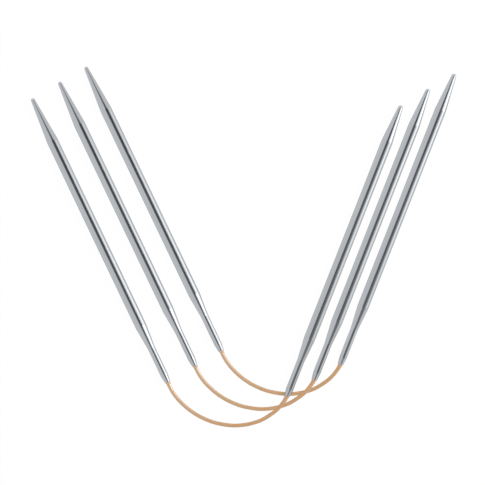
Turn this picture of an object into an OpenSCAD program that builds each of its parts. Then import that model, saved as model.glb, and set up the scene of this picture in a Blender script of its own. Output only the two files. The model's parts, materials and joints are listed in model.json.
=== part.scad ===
// Flexible knitting needles lying on a table, each laid partly over the next.
// Every needle is two tube shafts, one with a long point and one with a short point, and a cord
// whose ends are bonded into the shafts' necks.
// Sizes are in millimetres. Y runs towards the points, Z is up, and the table is at Z = 0.
// The origin is on the table, below the middle of the box round all the shafts.

/* [Shafts] */
// Outer diameter of every shaft, which is the needle size
shaft_d = 3.5; // [3:0.25:5]
// Wall of the tube along the straight body
tube_wall = 0.4; // [0.3:0.05:0.6]
// Length of a shaft with the long point, from tip to mouth
long_shaft_len = 97.2; // [80:0.1:120]
// Length of a shaft with the short point, from tip to mouth
short_shaft_len = 96.5; // [80:0.1:120]

/* [Points] */
// Length of the slender point
long_point_len = 14.55; // [10:0.05:22]
// Length of the blunter point
short_point_len = 12; // [8:0.1:18]
// Diameter of the rounding at the slender point's tip
long_tip_d = 1.25; // [0.6:0.05:1.6]
// Diameter of the rounding at the blunter point's tip
short_tip_d = 1.5; // [0.8:0.05:2]
// Solid length at the tip, where the tube is swaged shut
closed_len = 4; // [2:0.1:6]

/* [Necks] */
// Length of the taper from the body down to the neck
neck_taper_len = 7.3; // [4:0.1:10]
// Straight length of the neck
neck_len = 9.4; // [6:0.1:14]
// Wall of the neck round the bond
neck_wall = 0.41; // [0.25:0.01:0.6]
// Length of the lip that is rolled in at the mouth
lip_len = 2.4; // [1:0.1:4]
// Wall of the lip at the mouth
lip_wall = 0.24; // [0.1:0.01:0.35]

/* [Cords] */
// Diameter of the cord
cord_d = 1.2; // [1:0.05:1.8]
// Length of cord held in each neck
insert_len = 10; // [6:0.1:14]
// Thickness of the bond between the cord and the neck
bond_t = 0.12; // [0.05:0.01:0.2]
// Gap left on both sides of the bond, and round the cord at the mouth
fit_gap = 0.01; // [0.005:0.005:0.03]

/* [Layout] */
// Lean of the shafts with the long point, to the left of Y, in degrees
long_lean = 25.55; // [15:0.05:35]
// Lean of the shafts with the short point, to the right of Y, in degrees
short_lean = 21.5; // [12:0.5:30]
// Step along X from the front needle to the middle one
front_step_x = 8.4; // [7.5:0.1:12]
// Step along Y from the front needle to the middle one
front_step_y = 5.1; // [3:0.1:8]
// Step along X from the middle needle to the back one
back_step_x = 8.1; // [7.5:0.1:12]
// Step along Y from the middle needle to the back one
back_step_y = 4.65; // [3:0.05:8]
// Room between a cord on the table and the neck that crosses over it
cross_gap = 0.05; // [0.02:0.01:0.5]

/* [Hidden] */
NEEDLES = ["front", "middle", "back"];
PIECES = ["long_shaft", "short_shaft", "cord", "long_bond", "short_bond"];

$fn = 64;
last_needle = len(NEEDLES) - 1;
tip_steps = 8;
cord_sides = 8;

plated_colour = [0.74, 0.75, 0.77];
cord_colour = [0.79, 0.62, 0.44];
bond_colour = [0.88, 0.82, 0.66];

shaft_r = shaft_d / 2;
bore_r = shaft_r - tube_wall;
long_tip_r = long_tip_d / 2;
short_tip_r = short_tip_d / 2;
cord_r = cord_d / 2;
lip_bore_r = cord_r + fit_gap;
lip_r = lip_bore_r + lip_wall;
bond_bore_r = cord_r + fit_gap;
bond_r = bond_bore_r + bond_t;
neck_bore_r = bond_r + fit_gap;
neck_r = neck_bore_r + neck_wall;
neck_top = lip_len + neck_len;
taper_top = neck_top + neck_taper_len;

// The cord's route from the long shaft's mouth to the short shaft's mouth: X and Y from the first
// mouth, and how far the cord has risen from the table (0) to the height of the nearer mouth (1)
route = [
    [0, 0, 1],
    [1.2, -2.5, 0.95],
    [2.8, -4.8, 0.8],
    [4.7, -6.85, 0.56],
    [6.8, -8.65, 0.33],
    [9.2, -10.25, 0.15],
    [11.8, -11.55, 0.05],
    [14.6, -12.55, 0],
    [17.5, -13.15, 0],
    [20.5, -13.45, 0],
    [23.5, -13.25, 0],
    [26.4, -12.65, 0.04],
    [29.1, -11.65, 0.2],
    [31.5, -10.2, 0.48],
    [33.6, -8.6, 0.78],
    [35.3, -6.7, 0.95],
    [36.8, -4.3, 1],
];
route_middle = (len(route) - 1) / 2;
route_end = route[len(route) - 1];

// A needle that lies over other cords has its short shaft's neck propped up by them
propped_z = max(shaft_r, cord_d + neck_r + cross_gap);
function short_mouth_z(i) = i == last_needle ? shaft_r : propped_z;
function short_tilt(i) = asin((short_mouth_z(i) - shaft_r) / (short_shaft_len - short_point_len));

// Where each needle's first mouth lies, from the front needle's
needle_x = [0, front_step_x, front_step_x + back_step_x];
needle_y = [0, front_step_y, front_step_y + back_step_y];

// Reach of one needle's shafts from its first mouth
long_reach_x = (long_shaft_len - long_tip_r) * sin(long_lean) + long_tip_r;
long_reach_y = (long_shaft_len - long_tip_r) * cos(long_lean) + long_tip_r;
short_reach_x = route_end.x + (short_shaft_len - short_tip_r) * sin(short_lean) + short_tip_r;
short_reach_y = route_end.y + (short_shaft_len - short_tip_r) * cos(short_lean) + short_tip_r;

// Middle of the box round all the shafts, from the front needle's first mouth
box_bottom = min(-lip_r * sin(long_lean), route_end.y - lip_r * sin(short_lean));
box_top = max(long_reach_y, short_reach_y) + needle_y[last_needle];
box_right = short_reach_x + needle_x[last_needle];
box_middle = [(box_right - long_reach_x) / 2, (box_bottom + box_top) / 2, 0];

function first_mouth(i) = [needle_x[i], needle_y[i], 0] - box_middle;
function long_mouth(i) = first_mouth(i) + [0, 0, shaft_r];
function short_mouth(i) = first_mouth(i) + [route_end.x, route_end.y, short_mouth_z(i)];

// Each shaft's direction, from its mouth towards its tip
long_way = [-sin(long_lean), cos(long_lean), 0];
function short_way(i) = [
    sin(short_lean) * cos(short_tilt(i)),
    cos(short_lean) * cos(short_tilt(i)),
    -sin(short_tilt(i)),
];

module at_long_mouth(i) {
    translate(long_mouth(i)) rotate([-90, 0, long_lean]) children();
}

module at_short_mouth(i) {
    translate(short_mouth(i)) rotate([-90 - short_tilt(i), 0, -short_lean]) children();
}

// Half-angle of a point whose cone runs tangent from the tip's rounding to the body
function point_slope(point_len, tip_r) =
    acos(tip_r / norm([shaft_r, point_len - tip_r])) - atan2(point_len - tip_r, shaft_r);

// The rounding of a tip, from the axis to where the cone begins
function tip_arc(length, tip_r, slope) = [
    for (step = [0 : tip_steps])
        let (turn = 90 + (slope - 90) * step / tip_steps)
        [tip_r * cos(turn), length - tip_r + tip_r * sin(turn)]
];

// A swaged tube with its mouth at the origin and its tip up along Z
module shaft(length, point_len, tip_r) {
    shoulder = length - point_len;
    outside = [
        [shaft_r, shoulder],
        [shaft_r, taper_top],
        [neck_r, neck_top],
        [neck_r, lip_len],
        [lip_r, 0],
    ];
    inside = [
        [lip_bore_r, 0],
        [neck_bore_r, lip_len],
        [neck_bore_r, neck_top],
        [bore_r, taper_top],
        [bore_r, shoulder],
        [0, length - closed_len],
    ];
    tip = tip_arc(length, tip_r, point_slope(point_len, tip_r));
    rotate_extrude() polygon(concat(tip, outside, inside));
}

// The cured adhesive between a neck and the end of the cord in it
module bond() {
    rotate_extrude() translate([bond_bore_r, lip_len]) square([bond_t, insert_len - lip_len]);
}

module long_shaft(i) {
    color(plated_colour) at_long_mouth(i) shaft(long_shaft_len, long_point_len, long_tip_r);
}

module short_shaft(i) {
    color(plated_colour) at_short_mouth(i) shaft(short_shaft_len, short_point_len, short_tip_r);
}

module long_bond(i) {
    color(bond_colour) at_long_mouth(i) bond();
}

module short_bond(i) {
    color(bond_colour) at_short_mouth(i) bond();
}

// Height of the cord's centre at a route point, between the table and the nearer mouth
function route_z(i, k) =
    let (mouth_z = k < route_middle ? shaft_r : short_mouth_z(i))
    cord_r + route[k].z * (mouth_z - cord_r);

// The cord's centre line, with a straight end inside each neck
function cord_path(i) = concat(
    [long_mouth(i) + long_way * insert_len],
    [for (k = [0 : len(route) - 1]) first_mouth(i) + [route[k].x, route[k].y, route_z(i, k)]],
    [short_mouth(i) + short_way(i) * insert_len]
);

// Direction of the cord at a point of its path; inside the necks it is the shaft's own
function cord_way(i, path, k) =
    k < 2 ? -long_way
    : k > len(path) - 3 ? short_way(i)
    : (path[k + 1] - path[k - 1]) / norm(path[k + 1] - path[k - 1]);

function cord_ring(centre, way) =
    let (flat = cross(way, [0, 0, 1]), side = flat / norm(flat), up = cross(side, way))
    [for (k = [0 : cord_sides - 1])
        let (turn = 360 * (k + 0.5) / cord_sides)
        centre + cord_r * (cos(turn) * side + sin(turn) * up)];

// A tube of flat-sided rings swept along the path
module cord(i) {
    path = cord_path(i);
    rings = len(path);
    points = [for (k = [0 : rings - 1]) each cord_ring(path[k], cord_way(i, path, k))];
    walls = [
        for (k = [0 : rings - 2], s = [0 : cord_sides - 1])
            let (
                a = k * cord_sides + s,
                b = k * cord_sides + (s + 1) % cord_sides,
                c = a + cord_sides,
                d = b + cord_sides
            )
            each [[a, b, d], [a, d, c]]
    ];
    first_cap = [for (s = [0 : cord_sides - 1]) cord_sides - 1 - s];
    last_cap = [for (s = [0 : cord_sides - 1]) (rings - 1) * cord_sides + s];
    color(cord_colour) polyhedron(points, concat(walls, [first_cap, last_cap]));
}

for (i = [0 : last_needle]) {
    name = NEEDLES[i];
    long_shaft(i);
    short_shaft(i);
    cord(i);
    long_bond(i);
    short_bond(i);
}
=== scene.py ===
"""Looks of a set of flexible knitting needles, laid out as an add-on and run as a script.

Each needle is two plated tube shafts joined by a short nylon cord. Sizes are in metres, in the
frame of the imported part: Y runs towards the points, Z is up, and the table is at Z = 0.
"""

import json
import math

import bmesh
import bpy
from bpy.props import FloatProperty, FloatVectorProperty, IntProperty, PointerProperty
from mathutils import Matrix, Vector


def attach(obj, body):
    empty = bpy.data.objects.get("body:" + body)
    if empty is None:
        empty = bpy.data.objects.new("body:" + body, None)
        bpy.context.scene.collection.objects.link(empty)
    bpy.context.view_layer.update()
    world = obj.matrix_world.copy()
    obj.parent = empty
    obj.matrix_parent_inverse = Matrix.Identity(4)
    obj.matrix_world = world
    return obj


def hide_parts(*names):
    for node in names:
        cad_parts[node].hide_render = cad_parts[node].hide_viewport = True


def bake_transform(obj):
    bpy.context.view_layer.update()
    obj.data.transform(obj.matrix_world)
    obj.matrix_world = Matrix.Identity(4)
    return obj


bl_info = {
    "name": "Flexible knitting needles",
    "version": (1, 0, 0),
    "blender": (4, 5, 0),
    "location": "3D View > Sidebar > Needles",
    "description": "Dresses three flexible knitting needles and sets them on a pale studio floor",
    "category": "Add Mesh",
}

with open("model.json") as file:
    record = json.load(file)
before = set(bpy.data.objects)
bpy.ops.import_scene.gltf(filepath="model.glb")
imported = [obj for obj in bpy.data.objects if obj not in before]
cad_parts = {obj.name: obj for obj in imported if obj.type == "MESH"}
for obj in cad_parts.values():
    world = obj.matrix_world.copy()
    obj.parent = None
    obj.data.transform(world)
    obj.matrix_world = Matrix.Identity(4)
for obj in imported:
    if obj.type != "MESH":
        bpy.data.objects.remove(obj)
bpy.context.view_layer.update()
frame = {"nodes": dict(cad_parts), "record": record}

# Front lies over middle, and middle over back
NEEDLES = ("front", "middle", "back")
MOUNTS = {mount["name"]: mount for mount in frame["record"]["mounts"]}

# The cord's route: X and Y from the long shaft's mouth, and how far the cord has risen from the
# table (0) to the height of the nearer mouth (1)
ROUTE = (
    (0, 0, 1),
    (0.0012, -0.0025, 0.95),
    (0.0028, -0.0048, 0.8),
    (0.0047, -0.00685, 0.56),
    (0.0068, -0.00865, 0.33),
    (0.0092, -0.01025, 0.15),
    (0.0118, -0.01155, 0.05),
    (0.0146, -0.01255, 0),
    (0.0175, -0.01315, 0),
    (0.0205, -0.01345, 0),
    (0.0235, -0.01325, 0),
    (0.0264, -0.01265, 0.04),
    (0.0291, -0.01165, 0.2),
    (0.0315, -0.0102, 0.48),
    (0.0336, -0.0086, 0.78),
    (0.0353, -0.0067, 0.95),
    (0.0368, -0.0043, 1),
)
ROUTE_MIDDLE = len(ROUTE) // 2

# Where the cord's line is cut finer outside a mouth, and where the bead of adhesive there begins,
# both in lengths of that bead
BEAD_CUTS = (0.05, 0.2, 0.4)
BEAD_EDGE = 0.01

# The share of a flat that one rounding may take, and how far along the flat the next point lies,
# in lengths of that rounding
ROUNDING_SHARE = 0.4
FLAT_KEPT = 1.25

# The range that holds most values of a noise texture
NOISE_LOW, NOISE_HIGH = 0.3, 0.7

# Sizes of the studio. The sensor's width is in millimetres
SENSOR_WIDTH = 36
FLOOR_RADIUS = 3
TENT_RADIUS = 1.6

# Places of the two lamps
SOFTBOX_PLACE = (0.6, 0.15, 0.6)
SHEEN_PLACE = (0.777, 0.253, 0.266)

# Glow of the white world for rays that don't come from the camera, straight or mirrored
WORLD_GLOW = 0.9

# Ovals on the tent, seen from above with the tent's radius as 1: centre, turn, half sizes and the
# share that is even before the edge fades
OPENING = ((0.336, -0.035), 1.237, (0.567, 0.675), 0.654)
PANEL = ((3, 0.399), 0.166, (2.65, 0.862), 0.831)
SPOT = ((0.586, 0.17), 0, (0.121, 0.121), 0.4)
LEFT_FAR_SPOT = ((-0.39, 0.82), 0, (0.22, 0.22), 0.6)
RIGHT_FAR_SPOT = ((0.34, 0.86), 0, (0.22, 0.22), 0.6)

# The tent's lights and how strongly each glows
TENT_LIGHTS = ((PANEL, 1.61), (SPOT, 2.24), (LEFT_FAR_SPOT, 1.5), (RIGHT_FAR_SPOT, 1.5))

# Glow of the tent's cloth and of its two ends, and where along Y the ends begin and are full
CLOTH_GLOW, END_GLOW = 0.91, 0.2
END_START, END_FULL = 0.65, 0.9

# Glow seen through the opening at its near and far sides, and where along Y those are
NEAR_GLOW, FAR_GLOW = 0.26, 0.06
NEAR_SIDE, FAR_SIDE = -0.3, 0.3


class ShaftSettings(bpy.types.PropertyGroup):
    """Sizes and finish of the plated tube shafts"""

    diameter: FloatProperty(
        name="Diameter",
        description="Outer diameter of every shaft, which is the needle size",
        default=0.0035,
        unit="LENGTH",
    )
    wall: FloatProperty(
        name="Wall",
        description="Wall of the tube along the straight body",
        default=0.0004,
        unit="LENGTH",
    )
    long_length: FloatProperty(
        name="Long-point length",
        description="Length of a shaft with the long point, from tip to mouth",
        default=0.0972,
        unit="LENGTH",
    )
    short_length: FloatProperty(
        name="Short-point length",
        description="Length of a shaft with the short point, from tip to mouth",
        default=0.0965,
        unit="LENGTH",
    )
    long_point: FloatProperty(
        name="Long point",
        description="Length of the slender point",
        default=0.01455,
        unit="LENGTH",
    )
    short_point: FloatProperty(
        name="Short point",
        description="Length of the blunter point",
        default=0.012,
        unit="LENGTH",
    )
    long_tip: FloatProperty(
        name="Long point's tip",
        description="Diameter of the rounding at the slender point's tip",
        default=0.00125,
        unit="LENGTH",
    )
    short_tip: FloatProperty(
        name="Short point's tip",
        description="Diameter of the rounding at the blunter point's tip",
        default=0.0015,
        unit="LENGTH",
    )
    closed_length: FloatProperty(
        name="Closed length",
        description="Solid length at the tip, where the tube is swaged shut",
        default=0.004,
        unit="LENGTH",
    )
    lip_length: FloatProperty(
        name="Lip",
        description="Length of the lip that is rolled in at the mouth",
        default=0.0024,
        unit="LENGTH",
    )
    neck_length: FloatProperty(
        name="Neck",
        description="Straight length of the neck",
        default=0.0094,
        unit="LENGTH",
    )
    taper_length: FloatProperty(
        name="Taper",
        description="Length of the taper from the body down to the neck",
        default=0.0073,
        unit="LENGTH",
    )
    neck_diameter: FloatProperty(
        name="Neck diameter",
        description="Outer diameter of the neck",
        default=0.0023,
        unit="LENGTH",
    )
    neck_bore: FloatProperty(
        name="Neck bore",
        description="Diameter of the bore that holds the bond",
        default=0.00148,
        unit="LENGTH",
    )
    mouth_diameter: FloatProperty(
        name="Mouth diameter",
        description="Outer diameter of the lip at the mouth",
        default=0.0017,
        unit="LENGTH",
    )
    mouth_bore: FloatProperty(
        name="Mouth bore",
        description="Diameter of the opening that the cord leaves by",
        default=0.00122,
        unit="LENGTH",
    )
    crease_radius: FloatProperty(
        name="Crease rounding",
        description="Radius that the swaging leaves where the body meets a taper or a point",
        default=0.005,
        unit="LENGTH",
    )
    rim_radius: FloatProperty(
        name="Rim rounding",
        description="Radius of the rolled edge round the mouth",
        default=0.0001,
        unit="LENGTH",
    )
    colour: FloatVectorProperty(
        name="Plating",
        description="Colour of the plating",
        default=(0.501, 0.523, 0.552),
        subtype="COLOR",
    )
    edge_tint: FloatProperty(
        name="Edge tint",
        description="How much of a mirror the plating stays at a glancing angle",
        default=0.5,
        subtype="FACTOR",
    )
    roughness: FloatProperty(
        name="Roughness",
        description="Mean roughness of the polished plating",
        default=0.13,
        subtype="FACTOR",
    )
    sides: IntProperty(
        name="Sides",
        description="Faces round each shaft",
        default=96,
    )


class CordSettings(bpy.types.PropertyGroup):
    """Sizes and finish of the nylon cords"""

    diameter: FloatProperty(
        name="Diameter",
        description="Diameter of the cord",
        default=0.0012,
        unit="LENGTH",
    )
    held_length: FloatProperty(
        name="Held length",
        description="Length of cord bonded inside each neck",
        default=0.01,
        unit="LENGTH",
    )
    colour: FloatVectorProperty(
        name="Nylon",
        description="Colour of the nylon",
        default=(0.545, 0.318, 0.155),
        subtype="COLOR",
    )
    # The next three settings paint a sheen into the nylon's colour: near the long shaft's mouth
    # the tan is mixed towards a pale colour, standing in for a highlight there
    sheen_paint_colour: FloatVectorProperty(
        name="Painted sheen colour",
        description="Colour that the nylon pales towards at the long shaft's mouth",
        default=(0.62, 0.6, 0.53),
        subtype="COLOR",
    )
    sheen_paint: FloatProperty(
        name="Painted sheen",
        description="How far the nylon has paled at the long shaft's mouth",
        default=0.2,
        subtype="FACTOR",
    )
    sheen_paint_length: FloatProperty(
        name="Painted sheen length",
        description="Length of cord over which the pale end turns tan",
        default=0.027,
        unit="LENGTH",
    )
    roughness: FloatProperty(
        name="Roughness",
        description="Mean roughness of the drawn nylon",
        default=0.37,
        subtype="FACTOR",
    )
    smear_roughness: FloatProperty(
        name="Smear roughness",
        description="Roughness of the thin adhesive smeared on the cord at the long shaft's mouth",
        default=0.17,
        subtype="FACTOR",
    )
    smear_length: FloatProperty(
        name="Smear length",
        description="Length of cord over which the smear wears off",
        default=0.0048,
        unit="LENGTH",
    )
    bead: FloatProperty(
        name="Bead",
        description="Height of the bead of adhesive round the cord at a mouth",
        default=0.00018,
        unit="LENGTH",
    )
    bead_length: FloatProperty(
        name="Bead length",
        description="Distance from a mouth over which the bead thins to a third",
        default=0.0006,
        unit="LENGTH",
    )
    sides: IntProperty(
        name="Sides",
        description="Faces round each cord",
        default=24,
    )


class BondSettings(bpy.types.PropertyGroup):
    """Finish of the adhesive inside the necks"""

    colour: FloatVectorProperty(
        name="Adhesive",
        description="Colour of the cured adhesive",
        default=(0.75, 0.64, 0.4),
        subtype="COLOR",
    )


class StageSettings(bpy.types.PropertyGroup):
    """The studio round the needles"""

    floor_colour: FloatVectorProperty(
        name="Floor",
        description="Colour of the studio floor",
        default=(0.95, 0.95, 0.95),
        subtype="COLOR",
    )
    whiteness: FloatProperty(
        name="Floor whiteness",
        description="How far the floor shows as plain white under its shadow",
        default=0.93,
        subtype="FACTOR",
    )
    picture_centre: FloatVectorProperty(
        name="Picture centre",
        description="X and Y of the table below the middle of the picture",
        default=(-0.000334, -0.003267),
        size=2,
        unit="LENGTH",
    )
    picture_width: FloatProperty(
        name="Picture width",
        description="Width of table that the square picture takes in",
        default=0.149865,
        unit="LENGTH",
    )
    lens: FloatProperty(
        name="Lens",
        description="Focal length of the camera in millimetres",
        default=250,
        unit="CAMERA",
    )


def new_object(name, mesh):
    """Makes an object of a bmesh, with its faces shaded smooth."""
    for face in mesh.faces:
        face.smooth = True
    bmesh.ops.recalc_face_normals(mesh, faces=mesh.faces)
    data = bpy.data.meshes.new(name)
    mesh.to_mesh(data)
    mesh.free()
    made = bpy.data.objects.new(name, data)
    bpy.context.scene.collection.objects.link(made)
    return made


def bridge(mesh, first, second):
    """Joins two rings of vertices with faces. A ring may be one vertex on the axis."""
    for k in range(max(len(first), len(second))):
        here, there = first[k % len(first)], second[k % len(second)]
        corners = [here, first[(k + 1) % len(first)], second[(k + 1) % len(second)], there]
        mesh.faces.new(list(dict.fromkeys(corners)))


def turned(name, profile, sides):
    """A piece turned about Z from (radius, height) points that begin and end on the axis."""
    mesh = bmesh.new()
    turns = [2 * math.pi * k / sides for k in range(sides)]
    rings = []
    for radius, height in profile:
        ring = turns if radius > 0 else turns[:1]
        rings.append(
            [mesh.verts.new((radius * math.cos(t), radius * math.sin(t), height)) for t in ring]
        )
    for first, second in zip(rings, rings[1:]):
        bridge(mesh, first, second)
    return new_object(name, mesh)


def rounded(before, corner, after, radius, steps=6):
    """Points on a rounding of the corner, with one more on each side to keep the flats flat."""
    here = Vector(corner)
    back, on = Vector(before) - here, Vector(after) - here
    turn = math.pi - back.angle(on)
    shorter = min(back.length, on.length)
    reach = min(radius * math.tan(turn / 2), ROUNDING_SHARE * shorter)
    start, end = here + back.normalized() * reach, here + on.normalized() * reach
    curve = []
    for k in range(steps + 1):
        t = k / steps
        curve.append(start * (1 - t) ** 2 + here * 2 * t * (1 - t) + end * t ** 2)
    flat_before = here + back.normalized() * reach * FLAT_KEPT
    flat_after = here + on.normalized() * reach * FLAT_KEPT
    return [tuple(p) for p in (flat_before, *curve, flat_after)]


def shaft_profile(sizes, length, point_length, tip_diameter, tip_steps=12):
    """Half section of a swaged tube: (radius, height) points from the tip to the bore's end."""
    body_r = sizes.diameter / 2
    bore_r = body_r - sizes.wall
    tip_r = tip_diameter / 2
    neck_r, mouth_r = sizes.neck_diameter / 2, sizes.mouth_diameter / 2
    neck_bore_r, mouth_bore_r = sizes.neck_bore / 2, sizes.mouth_bore / 2
    neck_top = sizes.lip_length + sizes.neck_length
    taper_top = neck_top + sizes.taper_length
    shoulder = length - point_length

    cone = point_length - tip_r
    slope = math.acos(tip_r / math.hypot(body_r, cone)) - math.atan2(cone, body_r)
    turns = [math.pi / 2 + (slope - math.pi / 2) * k / tip_steps for k in range(tip_steps + 1)]
    tip = [(tip_r * math.cos(t), length - tip_r + tip_r * math.sin(t)) for t in turns]
    tip[0] = (0, length)

    outside = [
        tip[-1],
        (body_r, shoulder),
        (body_r, taper_top),
        (neck_r, neck_top),
        (neck_r, sizes.lip_length),
        (mouth_r, 0),
        (mouth_bore_r, 0),
        (neck_bore_r, sizes.lip_length),
    ]
    crease, rim = sizes.crease_radius, sizes.rim_radius
    radii = [crease, crease, crease, crease, rim, rim]
    profile = list(tip)
    for before, corner, after, radius in zip(outside, outside[1:], outside[2:], radii):
        profile += rounded(before, corner, after, radius)
    profile += [
        (neck_bore_r, sizes.lip_length),
        (neck_bore_r, neck_top),
        (bore_r, taper_top),
        (bore_r, shoulder),
        (0, length - sizes.closed_length),
    ]
    return profile


def shaft_place(needle, end, shafts):
    """A shaft's mouth and its direction from mouth to tip, from the mount on its straight body."""
    mount = MOUNTS[f"{needle}_{end}_shaft_body"]
    way = Vector(mount["axis"])
    taper_top = shafts.lip_length + shafts.neck_length + shafts.taper_length
    half_body = mount["dims"]["length_mm"] / 1000 / 2
    return Vector(mount["pos_m"]) - way * (taper_top + half_body), way


def cord_line(needle, shafts, cords, steps=6):
    """Smooth centre line of a needle's cord, from its end in one neck to its end in the other."""
    long_mouth, long_way = shaft_place(needle, "long", shafts)
    short_mouth, short_way = shaft_place(needle, "short", shafts)
    lowest = cords.diameter / 2
    knots = []
    for k, (x, y, lift) in enumerate(ROUTE):
        mouth = long_mouth if k < ROUTE_MIDDLE else short_mouth
        z = lowest + lift * (mouth.z - lowest)
        knots.append(Vector((long_mouth.x + x, long_mouth.y + y, z)))
    chords = [(b - a).length for a, b in zip(knots, knots[1:])]
    ways = [-long_way]
    for k in range(1, len(knots) - 1):
        before = (knots[k] - knots[k - 1]) / chords[k - 1]
        after = (knots[k + 1] - knots[k]) / chords[k]
        way = before * chords[k] + after * chords[k - 1]
        ways.append(way / (chords[k] + chords[k - 1]))
    ways.append(short_way)

    held = [cords.held_length * k / steps for k in range(steps, -1, -1)]
    beaded = [cords.bead_length * cut for cut in BEAD_CUTS]
    line = [long_mouth + long_way * d for d in held]
    line += [long_mouth - long_way * d for d in beaded]
    for k, chord in enumerate(chords):
        for step in range(1, steps + 1):
            t = step / steps
            line.append(
                knots[k] * (2 * t ** 3 - 3 * t ** 2 + 1)
                + ways[k] * chord * (t ** 3 - 2 * t ** 2 + t)
                + knots[k + 1] * (3 * t ** 2 - 2 * t ** 3)
                + ways[k + 1] * chord * (t ** 3 - t ** 2)
            )
    line[-1:] = [short_mouth - short_way * d for d in reversed(beaded)]
    line += [short_mouth + short_way * d for d in reversed(held)]
    return line


def cord_radii(needle, line, shafts, cords):
    """Radius of a cord at each point of its line, with a bead of adhesive outside each mouth."""
    mouths = [shaft_place(needle, end, shafts) for end in ("long", "short")]
    radii = []
    for point in line:
        radius = cords.diameter / 2
        for mouth, way in mouths:
            out = (mouth - point).dot(way)
            if out > cords.bead_length * BEAD_EDGE:
                radius += cords.bead * math.exp(-out / cords.bead_length)
        radii.append(radius)
    return radii


def swept(name, line, radii, sides):
    """A round tube along a line, with a UV map of turns round it and metres along it."""
    mesh = bmesh.new()
    up = Vector((0, 0, 1))
    rings, along = [], [0]
    for k, point in enumerate(line):
        way = line[min(k + 1, len(line) - 1)] - line[max(k - 1, 0)]
        side = way.cross(up).normalized()
        top = side.cross(way).normalized()
        turns = [2 * math.pi * s / sides for s in range(sides)]
        rings.append(
            [
                mesh.verts.new(point + radii[k] * (math.cos(t) * side + math.sin(t) * top))
                for t in turns
            ]
        )
        if k:
            along.append(along[-1] + (point - line[k - 1]).length)
    for first, second in zip(rings, rings[1:]):
        bridge(mesh, first, second)
    mesh.faces.new(rings[0])
    mesh.faces.new(rings[-1])
    mesh.verts.index_update()

    layer = mesh.loops.layers.uv.new("Along")
    for face in mesh.faces:
        seam = {corner.vert.index % sides for corner in face.loops} == {0, sides - 1}
        for corner in face.loops:
            ring, turn = divmod(corner.vert.index, sides)
            turn = sides if seam and turn == 0 else turn
            corner[layer].uv = (turn / sides, along[ring])
    return new_object(name, mesh)


def new_material(name):
    """A node material, its tree and its shader."""
    material = bpy.data.materials.new(name)
    material.use_nodes = True
    return material, material.node_tree, material.node_tree.nodes["Principled BSDF"]


def add_node(tree, kind, **inputs):
    """Adds a node and fills or links its inputs, named with _ for a space."""
    made = tree.nodes.new(kind)
    for name, value in inputs.items():
        socket = made.inputs[name.replace("_", " ")]
        if isinstance(value, bpy.types.NodeSocket):
            tree.links.new(value, socket)
        else:
            socket.default_value = value
    return made


def add_math(tree, operation, first, second=0):
    """Joins two values with a sum, product or the like, or changes one."""
    made = tree.nodes.new("ShaderNodeMath")
    made.operation = operation
    for socket, value in zip(made.inputs, (first, second)):
        if isinstance(value, bpy.types.NodeSocket):
            tree.links.new(value, socket)
        else:
            socket.default_value = value
    return made.outputs["Value"]


def add_noise(tree, place, scale, stretch=(1, 1, 1), detail=3):
    """Noise with scale features in a metre, drawn out along the axes whose stretch is small."""
    drawn = add_node(tree, "ShaderNodeMapping", Vector=place, Scale=stretch).outputs["Vector"]
    noise = add_node(tree, "ShaderNodeTexNoise", Vector=drawn, Scale=scale, Detail=detail)
    return noise.outputs["Fac"]


def add_range(tree, value, low, high, start=NOISE_LOW, end=NOISE_HIGH):
    """Maps a value from start..end, or else from a noise's usual range, to low..high."""
    made = add_node(
        tree,
        "ShaderNodeMapRange",
        Value=value,
        From_Min=start,
        From_Max=end,
        To_Min=low,
        To_Max=high,
    )
    return made.outputs["Result"]


def add_step(tree, value, start, end):
    """A soft step from 0 at start to 1 at end."""
    made = add_node(tree, "ShaderNodeMapRange", Value=value, From_Min=start, From_Max=end)
    made.interpolation_type = "SMOOTHSTEP"
    return made.outputs["Result"]


def add_shades(tree, value, colour, spread):
    """A ramp from a darker to a lighter shade of a colour, over a noise's usual range."""
    ramp = add_node(tree, "ShaderNodeValToRGB", Fac=value)
    shades = ((NOISE_LOW, 1 - spread), (NOISE_HIGH, 1 + spread))
    for element, (place, share) in zip(ramp.color_ramp.elements, shades):
        element.position = place
        element.color = (*[min(1, c * share) for c in colour], 1)
    return ramp.outputs["Color"]


def plating_material(shafts):
    """Bright plating: lengthwise polishing lines, cloudy gloss and a few dull scuffs."""
    material, tree, shader = new_material("bright_plating")
    place = add_node(tree, "ShaderNodeTexCoord").outputs["Object"]
    lines = add_noise(tree, place, scale=9000, stretch=(1, 1, 0.015), detail=2)
    clouds = add_noise(tree, place, scale=140, stretch=(1, 1, 0.4), detail=4)
    scuffs = add_noise(tree, place, scale=900, stretch=(1, 1, 0.3), detail=5)

    shades = add_shades(tree, clouds, shafts.colour, spread=0.03)
    tree.links.new(shades, shader.inputs["Base Color"])
    gloss = add_range(tree, lines, shafts.roughness * 0.8, shafts.roughness * 1.2)
    dulled = add_range(tree, scuffs, low=0, high=0.06, start=0.56, end=0.72)
    tree.links.new(add_math(tree, "ADD", gloss, dulled), shader.inputs["Roughness"])
    bump = add_node(tree, "ShaderNodeBump", Height=lines, Strength=0.12, Distance=0.000002)
    tree.links.new(bump.outputs["Normal"], shader.inputs["Normal"])
    shader.inputs["Metallic"].default_value = 1
    shader.inputs["Specular Tint"].default_value = (*[shafts.edge_tint] * 3, 1)
    return material


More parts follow.
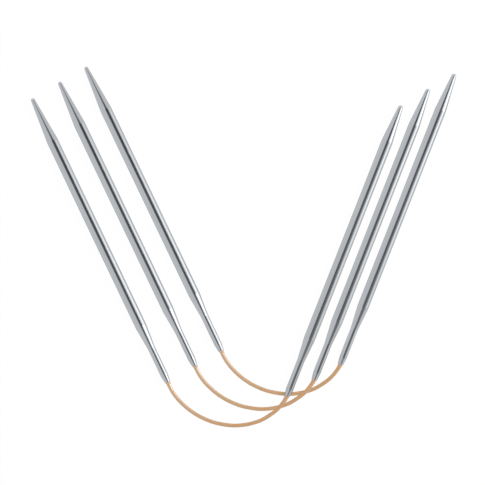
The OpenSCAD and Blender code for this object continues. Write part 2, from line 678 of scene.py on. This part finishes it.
def nylon_material(cords):
    """Tan nylon: faintly lined and mottled, waxy, glossier at one end, and with a painted sheen
    that pales it towards that end.
    """
    material, tree, shader = new_material("tan_nylon")
    along = add_node(tree, "ShaderNodeUVMap")
    along.uv_map = "Along"
    place = add_node(tree, "ShaderNodeTexCoord").outputs["Object"]
    lines = add_noise(tree, along.outputs["UV"], scale=14, stretch=(1, 6, 1))
    mottle = add_noise(tree, place, scale=420, detail=4)

    # Painted sheen: near the long shaft's mouth the tan is mixed towards a pale colour, standing
    # in for a highlight
    travel = add_node(tree, "ShaderNodeSeparateXYZ", Vector=along.outputs["UV"]).outputs["Y"]
    mouth = cords.held_length
    paled = add_range(tree, travel, cords.sheen_paint, 0, mouth, mouth + cords.sheen_paint_length)
    tan = add_shades(tree, mottle, cords.colour, spread=0.03)
    pale = (*cords.sheen_paint_colour, 1)
    colour = add_node(tree, "ShaderNodeMixRGB", Fac=paled, Color1=tan, Color2=pale)
    tree.links.new(colour.outputs["Color"], shader.inputs["Base Color"])

    smoothest, roughest = cords.roughness * 0.85, cords.roughness * 1.15
    waxy = add_range(tree, mottle, smoothest, roughest)
    worn = mouth + cords.smear_length
    smeared = add_range(tree, travel, cords.smear_roughness, roughest, mouth, worn)
    tree.links.new(add_math(tree, "MINIMUM", waxy, smeared), shader.inputs["Roughness"])
    bump = add_node(tree, "ShaderNodeBump", Height=lines, Strength=0.2, Distance=0.000006)
    tree.links.new(bump.outputs["Normal"], shader.inputs["Normal"])
    shader.inputs["IOR"].default_value = 1.53
    shader.inputs["Subsurface Weight"].default_value = 0.2
    shader.inputs["Subsurface Radius"].default_value = (1, 0.6, 0.35)
    shader.inputs["Subsurface Scale"].default_value = 0.0006
    return material


def adhesive_material(bonds):
    """Cured adhesive: amber, glossy and finely bubbled."""
    material, tree, shader = new_material("cured_adhesive")
    place = add_node(tree, "ShaderNodeTexCoord").outputs["Object"]
    clouds = add_noise(tree, place, scale=900, detail=4)
    bubbles = add_node(tree, "ShaderNodeTexVoronoi", Vector=place, Scale=6000)

    shades = add_shades(tree, clouds, bonds.colour, spread=0.1)
    tree.links.new(shades, shader.inputs["Base Color"])
    roughness = add_range(tree, clouds, low=0.2, high=0.4)
    tree.links.new(roughness, shader.inputs["Roughness"])
    bump = add_node(
        tree,
        "ShaderNodeBump",
        Height=bubbles.outputs["Distance"],
        Strength=0.3,
        Distance=0.00001,
    )
    tree.links.new(bump.outputs["Normal"], shader.inputs["Normal"])
    return material


def add_seen(tree):
    """1 for rays from the camera, straight or by way of a mirror or glass, and 0 for others."""
    rays = tree.nodes.new("ShaderNodeLightPath").outputs
    mirrored = add_math(tree, "MAXIMUM", rays["Is Glossy Ray"], rays["Is Transmission Ray"])
    return add_math(tree, "MAXIMUM", rays["Is Camera Ray"], mirrored)


def floor_material(stage):
    """Matt white paper that keeps a light shadow."""
    material, tree, shader = new_material("floor_paper")
    shader.inputs["Base Color"].default_value = (*stage.floor_colour, 1)
    shader.inputs["Roughness"].default_value = 1
    shader.inputs["Specular IOR Level"].default_value = 0
    white = tree.nodes.new("ShaderNodeEmission")
    mixed = tree.nodes.new("ShaderNodeMixShader")
    tree.links.new(add_math(tree, "MULTIPLY", add_seen(tree), stage.whiteness), mixed.inputs[0])
    tree.links.new(shader.outputs["BSDF"], mixed.inputs[1])
    tree.links.new(white.outputs["Emission"], mixed.inputs[2])
    tree.links.new(mixed.outputs["Shader"], tree.nodes["Material Output"].inputs["Surface"])
    return material


def add_oval(tree, place, centre, turn, size, core):
    """1 in the core of an oval, seen from above, that fades to 0 at its edge."""
    # The large scale along Z leaves height out
    inside = add_node(
        tree,
        "ShaderNodeMapping",
        Vector=place,
        Location=(*centre, 0),
        Rotation=(0, 0, turn),
        Scale=(*size, 1000),
    )
    inside.vector_type = "TEXTURE"
    reach = tree.nodes.new("ShaderNodeVectorMath")
    reach.operation = "LENGTH"
    tree.links.new(inside.outputs["Vector"], reach.inputs[0])
    return add_step(tree, reach.outputs["Value"], 1, core)


def tent_material():
    """What polished metal mirrors: a pale tent with a dark opening above and a panel on the right.

    From above, only the tips mirror the tent's two ends. These are dim, so that low views keep
    some contrast, apart from a spot beyond each row of points.
    """
    material, tree, shader = new_material("light_tent")
    material.cycles.emission_sampling = "NONE"
    place = add_node(tree, "ShaderNodeTexCoord").outputs["Object"]
    along = add_node(tree, "ShaderNodeSeparateXYZ", Vector=place).outputs["Y"]
    ends = add_step(tree, add_math(tree, "ABSOLUTE", along), END_START, END_FULL)
    cloth = add_range(tree, ends, CLOTH_GLOW, END_GLOW, 0, 1)
    depth = add_range(tree, along, NEAR_GLOW, FAR_GLOW, NEAR_SIDE, FAR_SIDE)
    glow = add_range(tree, add_oval(tree, place, *OPENING), cloth, depth, 0, 1)
    for oval, power in TENT_LIGHTS:
        light = add_math(tree, "MULTIPLY", add_oval(tree, place, *oval), power)
        glow = add_math(tree, "ADD", glow, light)
    emission = add_node(tree, "ShaderNodeEmission", Strength=glow).outputs["Emission"]
    tree.links.new(emission, tree.nodes["Material Output"].inputs["Surface"])
    tree.nodes.remove(shader)
    return material


def add_lamp(context, name, place, size, power):
    """A round soft lamp that faces the origin."""
    lamp = bpy.data.lights.new(name, "AREA")
    lamp.shape = "DISK"
    lamp.size = size
    lamp.energy = power
    made = bpy.data.objects.new(name, lamp)
    made.location = place
    made.rotation_euler = Vector(place).to_track_quat("Z", "Y").to_euler()
    context.scene.collection.objects.link(made)
    return made


class NEEDLES_OT_stage(bpy.types.Operator):
    """Lays the studio floor, hangs the soft light and sets the camera straight above"""

    bl_idname = "needles.stage"
    bl_label = "Studio stage"

    def execute(self, context):
        stage = context.scene.needle_stage
        # The picture's width is measured at the height of the shafts' centre lines
        height = context.scene.needle_shafts.diameter / 2
        centre = Vector((*stage.picture_centre, height))
        camera = bpy.data.cameras.new("overhead_camera")
        camera.lens = stage.lens
        camera.sensor_width = SENSOR_WIDTH
        distance = stage.picture_width * camera.lens / camera.sensor_width
        camera.clip_start, camera.clip_end = 0.01, 10
        holder = bpy.data.objects.new("overhead_camera", camera)
        holder.location = centre + Vector((0, 0, distance))
        context.scene.collection.objects.link(holder)
        context.scene.camera = holder
        context.scene.view_settings.view_transform = "Standard"

        mesh = bmesh.new()
        bmesh.ops.create_circle(mesh, cap_ends=True, segments=64, radius=FLOOR_RADIUS)
        floor = new_object("studio_floor", mesh)
        floor.data.materials.append(floor_material(stage))

        mesh = bmesh.new()
        bmesh.ops.create_uvsphere(mesh, u_segments=64, v_segments=32, radius=1)
        tent = new_object("light_tent", mesh)
        tent.scale = (TENT_RADIUS, TENT_RADIUS, TENT_RADIUS)
        tent.data.materials.append(tent_material())
        tent.visible_camera = False
        tent.visible_diffuse = False
        tent.visible_shadow = False
        tent.visible_transmission = False

        softbox = add_lamp(context, "right_softbox", SOFTBOX_PLACE, size=0.5, power=2)
        softbox.visible_glossy = False
        # This lamp lights only the cords, which join its collection as they are made
        sheen = add_lamp(context, "cord_sheen", SHEEN_PLACE, size=0.3, power=8.5)
        sheen.visible_diffuse = False
        sheen.data.use_shadow = False
        sheen.light_linking.receiver_collection = bpy.data.collections.new("cord_sheen")

        world = bpy.data.worlds.new("white_studio")
        world.use_nodes = True
        background = world.node_tree.nodes["Background"]
        background.inputs["Color"].default_value = (1, 1, 1, 1)
        seen = add_seen(world.node_tree)
        level = add_math(world.node_tree, "MAXIMUM", seen, WORLD_GLOW)
        world.node_tree.links.new(level, background.inputs["Strength"])
        context.scene.world = world
        return {"FINISHED"}


class NEEDLES_OT_cords(bpy.types.Operator):
    """Sweeps the three nylon cords"""

    bl_idname = "needles.cords"
    bl_label = "Nylon cords"

    def execute(self, context):
        scene = context.scene
        shafts, cords = scene.needle_shafts, scene.needle_cords
        nylon = nylon_material(cords)
        for needle in NEEDLES:
            line = cord_line(needle, shafts, cords)
            radii = cord_radii(needle, line, shafts, cords)
            piece = swept(f"{needle}_nylon_cord", line, radii, cords.sides)
            piece.data.materials.append(nylon)
            # Crossing needles in the picture neither shade nor tint one another
            piece.visible_shadow = False
            piece.visible_diffuse = False
            bpy.data.collections["cord_sheen"].objects.link(piece)
            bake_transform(piece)
            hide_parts(f"{needle}_cord")
        return {"FINISHED"}


def make_shafts(context, end):
    """Turns the three shafts with a long or a short point, and sets each on its needle."""
    shafts = context.scene.needle_shafts
    sizes = ("length", "point", "tip")
    length, point, tip = (getattr(shafts, f"{end}_{size}") for size in sizes)
    profile = shaft_profile(shafts, length, point, tip)
    plating = bpy.data.materials.get("bright_plating") or plating_material(shafts)
    for needle in NEEDLES:
        piece = turned(f"{needle}_{end}_plated_shaft", profile, shafts.sides)
        piece.data.materials.append(plating)
        mouth, way = shaft_place(needle, end, shafts)
        turn = way.to_track_quat("Z", "Y").to_matrix().to_4x4()
        piece.matrix_world = Matrix.Translation(mouth) @ turn
        # Needles in the picture neither mirror nor tint one another
        piece.visible_glossy = False
        piece.visible_diffuse = False
        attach(piece, f"{needle}_long_end" if end == "long" else f"{needle}_needle")
        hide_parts(f"{needle}_{end}_shaft")


class NEEDLES_OT_long_shafts(bpy.types.Operator):
    """Turns the three plated shafts with the long, slender point"""

    bl_idname = "needles.long_shafts"
    bl_label = "Long-point shafts"

    def execute(self, context):
        make_shafts(context, "long")
        return {"FINISHED"}


class NEEDLES_OT_short_shafts(bpy.types.Operator):
    """Turns the three plated shafts with the short, blunter point"""

    bl_idname = "needles.short_shafts"
    bl_label = "Short-point shafts"

    def execute(self, context):
        make_shafts(context, "short")
        return {"FINISHED"}


class NEEDLES_OT_bonds(bpy.types.Operator):
    """Gives the adhesive sleeves inside the necks their finish"""

    bl_idname = "needles.bonds"
    bl_label = "Adhesive bonds"

    def execute(self, context):
        adhesive = adhesive_material(context.scene.needle_bonds)
        for needle in NEEDLES:
            for end in ("long", "short"):
                bond = frame["nodes"][f"{needle}_{end}_bond"]
                bond.data.materials.clear()
                bond.data.materials.append(adhesive)
        return {"FINISHED"}


class NEEDLES_PT_panel(bpy.types.Panel):
    """Lists the pieces of the needles and the stage"""

    bl_idname = "NEEDLES_PT_panel"
    bl_label = "Knitting needles"
    bl_space_type = "VIEW_3D"
    bl_region_type = "UI"
    bl_category = "Needles"

    def draw(self, context):
        for operator, settings in STEPS:
            box = self.layout.box()
            box.operator(operator)
            group = getattr(context.scene, settings)
            for name in group.bl_rna.properties.keys():
                if name not in ("rna_type", "name"):
                    box.prop(group, name)


# Each operator in its order, with the settings that its box in the panel shows
STEPS = (
    ("needles.stage", "needle_stage"),
    ("needles.cords", "needle_cords"),
    ("needles.long_shafts", "needle_shafts"),
    ("needles.short_shafts", "needle_shafts"),
    ("needles.bonds", "needle_bonds"),
)
SETTINGS = {
    "needle_shafts": ShaftSettings,
    "needle_cords": CordSettings,
    "needle_bonds": BondSettings,
    "needle_stage": StageSettings,
}
CLASSES = (
    *SETTINGS.values(),
    NEEDLES_OT_stage,
    NEEDLES_OT_cords,
    NEEDLES_OT_long_shafts,
    NEEDLES_OT_short_shafts,
    NEEDLES_OT_bonds,
    NEEDLES_PT_panel,
)


def register():
    for made in CLASSES:
        bpy.utils.register_class(made)
    for name, group in SETTINGS.items():
        setattr(bpy.types.Scene, name, PointerProperty(type=group))


def unregister():
    for name in SETTINGS:
        delattr(bpy.types.Scene, name)
    for made in reversed(CLASSES):
        bpy.utils.unregister_class(made)


def main():
    register()
    bpy.ops.needles.stage()
    bpy.ops.needles.cords()
    bpy.ops.needles.long_shafts()
    bpy.ops.needles.short_shafts()
    bpy.ops.needles.bonds()


if __name__ == "__main__":
    main()
